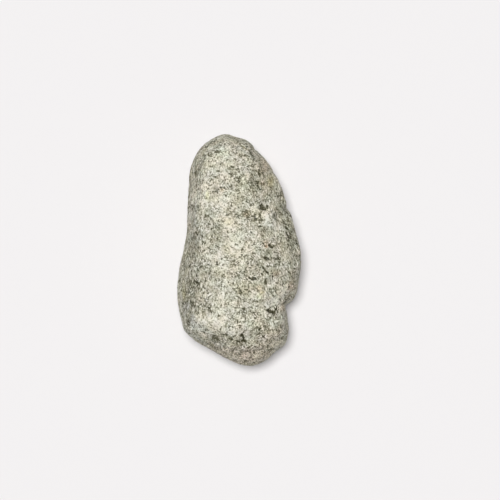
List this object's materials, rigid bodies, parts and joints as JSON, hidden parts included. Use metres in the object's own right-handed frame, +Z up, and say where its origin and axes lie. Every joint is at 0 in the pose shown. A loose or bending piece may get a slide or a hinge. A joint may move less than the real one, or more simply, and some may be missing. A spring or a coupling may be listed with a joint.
{
  "type": "rough fuchsite stone",
  "caption": "Rough, water-worn lump of pale grey-green mica rock with a notched edge and a skewed foot, lying on a small flat spot.",
  "frame": {"origin": "under the middle of the stone's box, on the surface that it rests on", "axes": "+Z up from the resting spot to the broad show face, +Y along the stone's length from its foot to its crown, +X across it to the right as the show face is looked down on with the crown away from the viewer"},
  "size_m": [0.0238, 0.0448, 0.0182],
  "materials": {
    "mica_rock": "matte"
  },
  "bodies": {
    "root": {"fuchsite": "mica_rock"}
  },
  "joints": []
}
